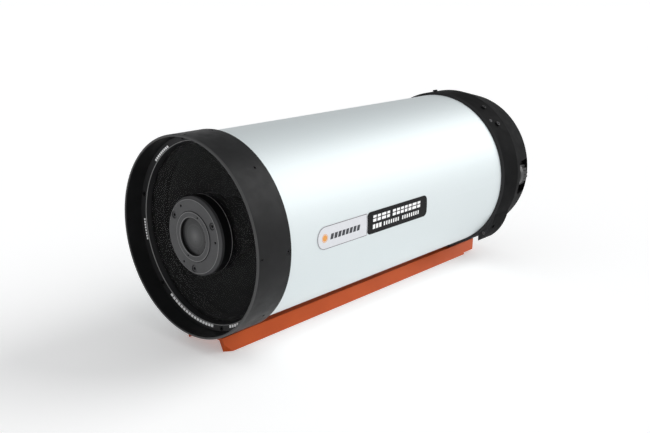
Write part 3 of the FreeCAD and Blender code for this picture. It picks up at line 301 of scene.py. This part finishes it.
def ring_finish():
    """The retaining ring: its inner edge carries a bright painted highlight."""
    s = anodised("ring_edge_black", (0.015, 0.015, 0.016), 0.44, specular=0.3)
    # Painted highlight: a bright line on the ring's inner edge
    s.paint(s.line(s.axis_distance(), RING_FACE_EDGE_R, 0.00035), (0.30, 0.30, 0.30))
    return s


def flange_finish(name):
    """The lens group's grey front face, with fine bright painted highlights on its edges and a
    black bore.
    """
    s = anodised(name, (0.060, 0.060, 0.062), 0.48, metallic=0.2)
    radius = s.axis_distance()
    # Painted highlights: bright lines on the face's edge, the window ring and the opening's chamfer
    edges = ((LENS_FACE_R, 0.0003), (WINDOW_RING_HIGHLIGHT_R, 0.00025), (OPENING_EDGE_R, 0.0003))
    for edge, width in edges:
        s.paint(s.line(radius, edge, width), (0.26, 0.26, 0.26))
    s.paint(s.line(radius, WINDOW_SEAM_R, 0.0002), (0.008, 0.008, 0.008))
    bore = s.remap(radius, BORE_BLACK_R, BORE_BLACK_R + 0.0004, 1.0, 0.0)
    s.paint(bore, (0.004, 0.004, 0.004))
    return s


def barrel_finish():
    """The lens barrel: black, with a thin bright painted highlight in front of its step."""
    s = anodised("barrel_edge_black", (0.006, 0.006, 0.0065), 0.48, specular=0.2)
    # Painted highlight: a bright line at the barrel's step
    s.paint(s.line(s.behind(), BARREL_HIGHLIGHT, 0.0005), (0.60, 0.60, 0.60))
    return s


def machined(name, color, roughness):
    """Bare turned metal with tool marks around the axis and a few smudges."""
    s = Surface(name, color, roughness, 1.0)
    smudge = s.remap(s.noise(30, 5), 0.35, 0.75, 0.0, 1.0)
    s.color(s.mix(smudge, color, tuple(c * 0.82 for c in color)))
    s.rough(s.remap(s.noise(140, 4), 0.3, 0.7, roughness - 0.06, roughness + 0.10))
    s.grooves(s.math("ADD", s.axis_distance(), s.behind()), MACHINING_PITCH, 0.2)
    return s


def tube_lacquer():
    """Pearl white lacquer outside, and flat black paint on the inner wall and the ends."""
    pale = (0.70, 0.75, 0.76)
    s = Surface("tube_pearl", pale, 0.58, 0.35, Coat_Weight=0.4, Coat_Roughness=0.46)
    outer = s.remap(s.axis_distance(), TUBE_R - 0.0008, TUBE_R - 0.0004, 0.0, 1.0)
    flake = s.remap(s.cells(2400), 0.1, 0.6, 0.0, 1.0)
    cloud = s.noise(9, 3)
    pearl = s.mix(flake, (0.655, 0.71, 0.72), (0.70, 0.755, 0.765))
    pearl = s.mix(s.remap(cloud, 0.35, 0.7, 0.0, 0.35), pearl, (0.67, 0.735, 0.75))
    s.color(s.mix(outer, (0.008, 0.008, 0.009), pearl))
    s.rough(s.remap(outer, 0.0, 1.0, 0.75, 0.58))
    s.bump(s.noise(420, 2), 0.04, 0.0001)
    return s


def orange_bar():
    """Orange anodised extrusion: fine lines along its length and a slightly cloudy dye."""
    s = Surface("orange_anodised", (0.42, 0.062, 0.008), 0.42, 0.25, Specular_IOR_Level=0.18)
    lines = s.noise(1.0, 4, 0.6, s.stretch((2600, 14, 2600)))
    cloud = s.remap(s.noise(16, 5), 0.3, 0.7, 0.0, 1.0)
    dye = s.mix(cloud, (0.40, 0.058, 0.007), (0.47, 0.073, 0.010))
    s.color(s.mix(s.remap(lines, 0.55, 0.8, 0.0, 0.35), dye, (0.56, 0.105, 0.018)))
    s.rough(s.remap(lines, 0.3, 0.7, 0.34, 0.50))
    s.bump(lines, 0.25, 0.00003)
    s.bump(s.noise(3000, 2), 0.12, 0.00002)
    return s


def lens_glass():
    """Polished, coated glass with a barely visible haze of dust."""
    tint = (0.90, 0.93, 0.91)
    s = Surface("lens_glass", tint, 0.015, Transmission_Weight=1.0, IOR=1.45)
    haze = s.remap(s.noise(55, 4), 0.4, 0.7, 0.0, 1.0)
    s.color(s.mix(haze, tint, tuple(c * 0.985 for c in tint)))
    return s


def corrector_glass():
    """Thin plate with an anti-reflection coating: clear but for a faint grey painted reflection of
    the studio, mottled by noise.
    """
    painted_reflection = (0.42, 0.42, 0.425)
    # Painted reflection: a diffuse grey, seen through the low alpha, stands in for the plate's
    # reflection; its real reflection is off
    s = Surface("corrector_glass", painted_reflection, 0.5, Specular_IOR_Level=0.0, Alpha=0.022)
    # The noise mottles the painted reflection between two greys
    haze = s.remap(s.noise(55, 4), 0.3, 0.7, 0.0, 1.0)
    s.color(s.mix(haze, (0.36, 0.365, 0.365), (0.47, 0.475, 0.48)))
    s.rough(s.remap(haze, 0.0, 1.0, 0.45, 0.6))
    return s


def camera_window():
    """The dull, coated window of the lens group, with a painted reflection that is paler towards
    its middle.
    """
    dull = (0.03, 0.03, 0.031)
    s = Surface("camera_window", dull, 0.30, Specular_IOR_Level=0.35, IOR=1.45)
    # Painted reflection: paler towards the middle, with a paler ring
    middle = s.remap(s.axis_distance(), 0.0, 0.021, 1.0, 0.0)
    window_reflection = s.mix(s.math("POWER", middle, 1.8), (0.016, 0.016, 0.017), (0.115, 0.116, 0.118))
    ring = s.line(s.axis_distance(), 0.0135, 0.0006)
    window_reflection = s.mix(s.math("MULTIPLY", ring, 0.5), window_reflection, (0.06, 0.06, 0.061))
    s.color(s.mix(s.remap(s.noise(160, 4), 0.5, 0.8, 0.0, 0.2), window_reflection, (0.07, 0.07, 0.07)))
    s.rough(s.remap(s.noise(80, 3), 0.3, 0.7, 0.26, 0.36))
    return s


def mirror_coating():
    """Silvery first-surface coating in front, ground glass on the other faces."""
    s = Surface("mirror_coating", (0.9, 0.92, 0.93), 0.03, 1.0)
    facing = s.split(s.node("ShaderNodeNewGeometry").outputs["Normal"])[1]
    front = s.remap(facing, -0.95, -0.85, 1.0, 0.0)
    s.color(s.mix(front, (0.35, 0.40, 0.39), (0.90, 0.92, 0.93)))
    s.rough(s.remap(front, 0.0, 1.0, 0.5, 0.02))
    s.bump(s.noise(40, 2), 0.02, 0.0001)
    return s


def rubber(name, color, roughness):
    """Matt black rubber, greyer where it is dusty."""
    s = Surface(name, color, roughness, Specular_IOR_Level=0.35)
    dust = s.remap(s.noise(60, 5), 0.4, 0.7, 0.0, 1.0)
    s.color(s.mix(dust, color, tuple(c * 1.5 for c in color)))
    s.rough(s.remap(s.noise(300, 3), 0.3, 0.7, roughness - 0.08, roughness + 0.08))
    s.bump(s.noise(1800, 3), 0.3, 0.00008)
    return s


def cork():
    """Pressed cork: dark and light grains."""
    s = Surface("cork", (0.48, 0.33, 0.20), 0.8)
    s.color(s.mix(s.cells(420), (0.30, 0.18, 0.09), (0.62, 0.44, 0.27)))
    s.bump(s.noise(500, 4), 0.5, 0.0003)
    return s


def printed_film(name, color, roughness, specular):
    """Printed film: even colour with faint ripples and dust."""
    s = Surface(name, color, roughness, Specular_IOR_Level=specular)
    dust = s.remap(s.noise(220, 4), 0.5, 0.8, 0.0, 0.5)
    s.color(s.mix(dust, color, tuple(min(c * 1.12 + 0.003, 0.9) for c in color)))
    s.bump(s.noise(160, 2), 0.04, 0.0001)
    return s


def steel(name, color, roughness):
    """Screws and mesh: metal with darker blotches and a fine grain."""
    s = Surface(name, color, roughness, 0.9)
    blotch = s.remap(s.noise(400, 4), 0.4, 0.7, 0.0, 1.0)
    s.color(s.mix(blotch, color, tuple(c * 0.7 for c in color)))
    s.bump(s.noise(2500, 3), 0.2, 0.00003)
    return s


# Looks by material slot
LOOKS = {
    "cell_black": powder_coat("cell_black", (0.019, 0.0192, 0.0198)),
    "ring_black": anodised("ring_black", (0.017, 0.017, 0.018), 0.44),
    "tube_pearl": tube_lacquer(),
    "barrel_black": anodised("barrel_black", (0.006, 0.006, 0.0065), 0.48, specular=0.2),
    "corrector_glass": corrector_glass(),
    "lens_glass": lens_glass(),
    "mirror_glass": mirror_coating(),
    "bright_aluminium": machined("bright_aluminium", (0.62, 0.63, 0.64), 0.30),
    "bearing_steel": machined("bearing_steel", (0.55, 0.55, 0.56), 0.18),
    "screw_steel": steel("screw_steel", (0.42, 0.42, 0.43), 0.30),
    "screw_black": steel("screw_black", (0.030, 0.030, 0.032), 0.36),
    "brass": machined("brass", (0.72, 0.52, 0.24), 0.28),
    "gasket_black": rubber("gasket_black", (0.008, 0.008, 0.008), 0.7),
    "cork": cork(),
    "knob_collar": anodised("knob_collar", (0.045, 0.045, 0.046), 0.40),
    "orange_anodised": orange_bar(),
    "label_pale": printed_film("label_pale", (0.68, 0.69, 0.72), 0.40, 0.4),
    "label_dark": printed_film("label_dark", (0.007, 0.007, 0.0075), 0.50, 0.12),
    "vent_mesh": steel("vent_mesh", (0.16, 0.16, 0.165), 0.4),
}
# Looks of single nodes, which come before those of their slots
OWN_LOOKS = {
    "front_cell": front_cell_coat(),
    "rear_cell": rear_cell_coat(),
    "knob_grip": knob_grip_rubber(),
    "corrector_retaining_ring": ring_finish(),
    "lens_flange": flange_finish("lens_flange_grey"),
    "window_retaining_ring": flange_finish("window_ring_grey"),
    "lens_barrel": barrel_finish(),
    **{
        f"collimation_screw_{n}": steel(f"tilt_screw_{n}", (0.10, 0.10, 0.103), 0.42)
        for n in (1, 2, 3)
    },
    "window": camera_window(),
    "foot_screws": steel("foot_screw_dark", (0.14, 0.14, 0.143), 0.5),
    "accessory_screws": steel("accessory_screw_dark", (0.014, 0.014, 0.015), 0.50),
}

for entry in frame["record"]["subparts"]:
    mesh = NODES[entry["node"]].data
    look = OWN_LOOKS.get(entry["node"]) or LOOKS[entry["material_slot"]]
    mesh.materials.clear()
    mesh.materials.append(look.material)

# ---------------------------------------------------------------------------------------------
# Printed marks: thin raised ink, generic bars and rings in place of any lettering


INK_LIFT = 0.06  # height of the ink over the face it is printed on, in millimetres


def ink(name, color):
    """Slightly worn printing ink."""
    s = Surface(name, color, 0.45, Coat_Weight=0.15, Coat_Roughness=0.2)
    worn = s.remap(s.noise(900, 4), 0.35, 0.65, 0.0, 0.3)
    s.color(s.mix(worn, color, tuple(c * 0.88 for c in color)))
    s.bump(s.noise(2200, 2), 0.15, 0.00002)
    return s.material


def ink_piece(name, strips, material):
    """One mesh of raised ink patches. Each strip is a list of sections along it, and a section is
    four points around the ink's thickness. A strip that ends where it starts is a closed line, and
    any other gets end caps."""
    mesh = bpy.data.meshes.new(name)
    build = bmesh.new()
    for strip in strips:
        rings = [[build.verts.new(point) for point in across] for across in strip]
        for here, there in zip(rings, rings[1:]):
            for k in range(4):
                build.faces.new((here[k], here[(k + 1) % 4], there[(k + 1) % 4], there[k]))
        if strip[0] != strip[-1]:
            build.faces.new(rings[0][::-1])
            build.faces.new(rings[-1])
    bmesh.ops.remove_doubles(build, verts=build.verts, dist=1e-7)
    bmesh.ops.recalc_face_normals(build, faces=build.faces)
    build.to_mesh(mesh)
    build.free()
    mesh.materials.append(material)
    piece = bpy.data.objects.new(name, mesh)
    bpy.context.scene.collection.objects.link(piece)
    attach(piece, "optical_tube")


PLATE_R = 114.45  # outer face of the label plates, in millimetres


def on_plate(behind, up, lift):
    """A point of the label plates' curved face, by millimetres behind and above the axis."""
    return at(PLATE_R + lift, math.degrees(math.asin(up / PLATE_R)), behind)


def plate_bar(start, end, low, high, slant=0.0):
    """A bar of ink along the plates, leaning backwards by slant, as a strip for ink_piece."""
    corners = ((low, 0.0), (low, INK_LIFT), (high, INK_LIFT), (high, 0.0))
    return [
        [on_plate(behind + slant * (up - low), up, lift) for up, lift in corners]
        for behind in (start, end)
    ]


def plate_line(path, width):
    """A closed line of ink along a path of (behind, up) points."""
    strip = []
    count = len(path)
    for i in range(count + 1):
        before, after = path[i % count - 1], path[(i + 1) % count]
        along = Vector((after[0] - before[0], after[1] - before[1])).normalized()
        side = Vector((-along.y, along.x)) * width / 2
        here = Vector(path[i % count])
        near, far = here - side, here + side
        corners = ((near, 0.0), (near, INK_LIFT), (far, INK_LIFT), (far, 0.0))
        strip.append([on_plate(*point, lift) for point, lift in corners])
    return strip


def arc_points(behind, up, radius, first, last, count):
    """Points of an arc on the plates between two angles in degrees, as (behind, up)."""
    turns = [math.radians(first + (last - first) * i / count) for i in range(count + 1)]
    return [(behind + radius * math.cos(t), up + radius * math.sin(t)) for t in turns]


# The label in millimetres: its front end and the seam between its plates, both behind the rim, half
# its height, and how far the printed border keeps from its edges and from the seam
LABEL_FRONT, LABEL_SPLIT, LABEL_HALF = 93.0, 181.0, 13.8
EDGE_MARGIN, SEAM_MARGIN = 0.7, 1.2
EMBLEM_BEHIND = LABEL_FRONT + 12.5

# Slanted dark bars on the pale plate: how many, the first one's place, spacing and length
DARK_BARS, DARK_FIRST, DARK_STEP, DARK_LENGTH = 8, LABEL_FRONT + 21.5, 6.6, 4.9

# White bars on the dark plate. Bold row: (place, length). Thin row: three longer bars, then short
# bars with one gap.
BOLD_BARS = (
    (191, 6.2),
    (199.4, 6.2),
    (207.8, 8.0),
    (218, 5.4),
    (229, 6.2),
    (237.2, 6.2),
    (245.4, 6.2),
    (253.6, 5.4),
    (261, 6.2),
    (269.2, 8.4),
    (279.6, 6.2),
)
LONG_THIN_BARS, LONG_THIN_LENGTH = (191, 197, 203), 4.4
SHORT_THIN_FIRST, SHORT_THIN_STEP, SHORT_THIN_LENGTH = 212, 4.6, 2.4
SHORT_THIN_BARS, SHORT_THIN_GAP = 16, 7


def make_label_print(white_ink):
    half = LABEL_HALF - EDGE_MARGIN
    round_end = arc_points(LABEL_FRONT + LABEL_HALF, 0, half, 90, 270, 40)
    back = LABEL_SPLIT - SEAM_MARGIN
    border = [(back, half)] + round_end + [(back, -half)]
    border += [(back, half * k / 4) for k in range(-3, 4)]
    grey_ink = ink("ink_grey", (0.11, 0.11, 0.115))
    ink_piece("label_border", [plate_line(border, 0.7)], grey_ink)

    disc = [plate_line(arc_points(EMBLEM_BEHIND, 0, r, 0, 345, 23), 1.3) for r in (0.8, 2.0, 3.1)]
    orange_ink = ink("ink_orange", (0.80, 0.33, 0.05))
    ink_piece("label_emblem", disc, orange_ink)
    ring = [plate_line(arc_points(EMBLEM_BEHIND, 0, 4.7, 0, 345, 23), 0.6)]
    ink_piece("label_emblem_ring", ring, orange_ink)

    dark_ink = ink("ink_dark", (0.02, 0.022, 0.03))
    bars = []
    for k in range(DARK_BARS):
        start = DARK_FIRST + DARK_STEP * k
        bars.append(plate_bar(start, start + DARK_LENGTH, -3.4, 3.2, 0.25))
    ink_piece("label_dark_bars", bars, dark_ink)

    rows = [plate_bar(start, start + length, 0.9, 8.7, 0.12) for start, length in BOLD_BARS]
    rows += [plate_bar(start, start + LONG_THIN_LENGTH, -8.0, -2.4) for start in LONG_THIN_BARS]
    for k in range(SHORT_THIN_BARS):
        start = SHORT_THIN_FIRST + SHORT_THIN_STEP * k
        if k != SHORT_THIN_GAP:
            rows.append(plate_bar(start, start + SHORT_THIN_LENGTH, -7.8, -2.8))
    ink_piece("label_white_bars", rows, white_ink)


# The retaining ring's sloping face in millimetres: where it starts, and its rise over its width
RING_FACE_R, RING_FACE_BEHIND = 107.6, 24.6
RING_FACE_RISE, RING_FACE_WIDTH = 2.0, 6.8

# Rows of white bars on it: clock angles of the row's ends, inner and outer radius, and the width
# and gap of its bars in degrees
RING_ROWS = (
    (120.5, 139, 108.5, 110.9, 1.5, 0.45),
    (181, 196, 108.8, 110.6, 1.2, 0.6),
    (234, 279, 108.4, 111.3, 2.1, 0.6),
    (292, 301, 108.4, 111.4, 1.8, 0.6),
    (302.5, 306, 109.2, 110.2, 0.8, 0.5),
)


def on_ring_face(radius, angle, lift):
    """A point of the retaining ring's sloping face, lifted off it towards the front."""
    rise = (radius - RING_FACE_R) * RING_FACE_RISE / RING_FACE_WIDTH
    return at(radius, angle, RING_FACE_BEHIND - rise - lift)


def ring_bar(inner, outer, first, last):
    """A bar of ink on the ring's face between two clock angles."""
    corners = ((inner, 0.0), (inner, INK_LIFT), (outer, INK_LIFT), (outer, 0.0))
    turns = [first + (last - first) * i / 3 for i in range(4)]
    return [[on_ring_face(radius, turn, lift) for radius, lift in corners] for turn in turns]


def ring_row(first, last, inner, outer, width, gap):
    """A row of equal bars of ink from one clock angle to another, in degrees."""
    bars = []
    turn = first
    while turn + width <= last:
        bars.append(ring_bar(inner, outer, turn, turn + width))
        turn += width + gap
    return bars


def make_ring_print(white_ink):
    marks = [bar for row in RING_ROWS for bar in ring_row(*row)]
    ink_piece("ring_marks", marks, white_ink)


WHITE_INK = ink("ink_white", (0.94, 0.94, 0.94))
make_label_print(WHITE_INK)
make_ring_print(WHITE_INK)

# ---------------------------------------------------------------------------------------------
# Studio


FLOOR_HALF = 40
FLOOR_GAP = 0.0002  # keeps the floor clear of the bar's feet
FLOOR_GLOW = 0.30

# Camera place, direction of view, and focal length in millimetres on a 36 mm wide sensor
CAMERA_PLACE = (0.7168, -0.8490, 0.4124)
CAMERA_AIM = Vector((-0.6469, 0.7132, -0.2699))
CAMERA_LENS, CAMERA_SENSOR = 46.33, 36
LAMP_DISTANCE = 2


def make_floor():
    """A plain pale floor that glows a little, so that it meets the white studio softly."""
    mesh = bpy.data.meshes.new("floor")
    grid = bmesh.new()
    bmesh.ops.create_grid(grid, x_segments=8, y_segments=8, size=FLOOR_HALF)
    grid.to_mesh(mesh)
    grid.free()
    floor = bpy.data.objects.new("floor", mesh)
    bpy.context.scene.collection.objects.link(floor)
    floor.location.z = CAD_BOX[0][2] - FLOOR_GAP
    s = Surface("floor_white", (0.9, 0.9, 0.9), 0.9, Specular_IOR_Level=0.0)
    s.shader.inputs["Emission Color"].default_value = (1, 1, 1, 1)
    s.shader.inputs["Emission Strength"].default_value = FLOOR_GLOW
    s.color(s.mix(s.noise(3, 2), (0.895, 0.895, 0.895), (0.905, 0.905, 0.905)))
    mesh.materials.append(s.material)


def make_world():
    """A pale studio: white near the horizon and dimmer overhead."""
    world = bpy.data.worlds.new("studio")
    world.use_nodes = True
    tree = world.node_tree
    direction = tree.nodes.new("ShaderNodeTexCoord")
    parts = tree.nodes.new("ShaderNodeSeparateXYZ")
    tree.links.new(direction.outputs["Generated"], parts.inputs[0])
    fade = tree.nodes.new("ShaderNodeValToRGB")
    tree.links.new(parts.outputs[2], fade.inputs["Fac"])
    fade.color_ramp.elements[0].position = 0.02
    fade.color_ramp.elements[0].color = (1.0, 1.0, 1.0, 1)
    fade.color_ramp.elements[1].position = 0.35
    fade.color_ramp.elements[1].color = (0.36, 0.365, 0.37, 1)
    tree.links.new(fade.outputs["Color"], tree.nodes["Background"].inputs["Color"])
    bpy.context.scene.world = world


def make_sun(name, azimuth, elevation, strength, spread):
    """A soft directional light from an azimuth counted from +X and an elevation, in degrees."""
    data = bpy.data.lights.new(name, "SUN")
    data.energy = strength
    data.angle = math.radians(spread)
    lamp = bpy.data.objects.new(name, data)
    turn, rise = math.radians(azimuth), math.radians(elevation)
    towards = Vector(
        (-math.cos(turn) * math.cos(rise), -math.sin(turn) * math.cos(rise), -math.sin(rise))
    )
    lamp.rotation_euler = towards.to_track_quat("-Z", "Y").to_euler()
    lamp.location = MIDDLE - towards * LAMP_DISTANCE
    bpy.context.scene.collection.objects.link(lamp)


def make_camera():
    data = bpy.data.cameras.new("camera")
    data.lens = CAMERA_LENS
    data.sensor_width = CAMERA_SENSOR
    data.clip_start = 0.01
    camera = bpy.data.objects.new("camera", data)
    camera.location = CAMERA_PLACE
    camera.rotation_euler = CAMERA_AIM.to_track_quat("-Z", "Y").to_euler()
    bpy.context.scene.collection.objects.link(camera)
    bpy.context.scene.camera = camera


make_floor()
make_world()
make_camera()
make_sun("key", 62, 32, 1.80, 46)
make_sun("fill", -8, 46, 0.40, 60)
bpy.context.scene.view_settings.view_transform = "Standard"
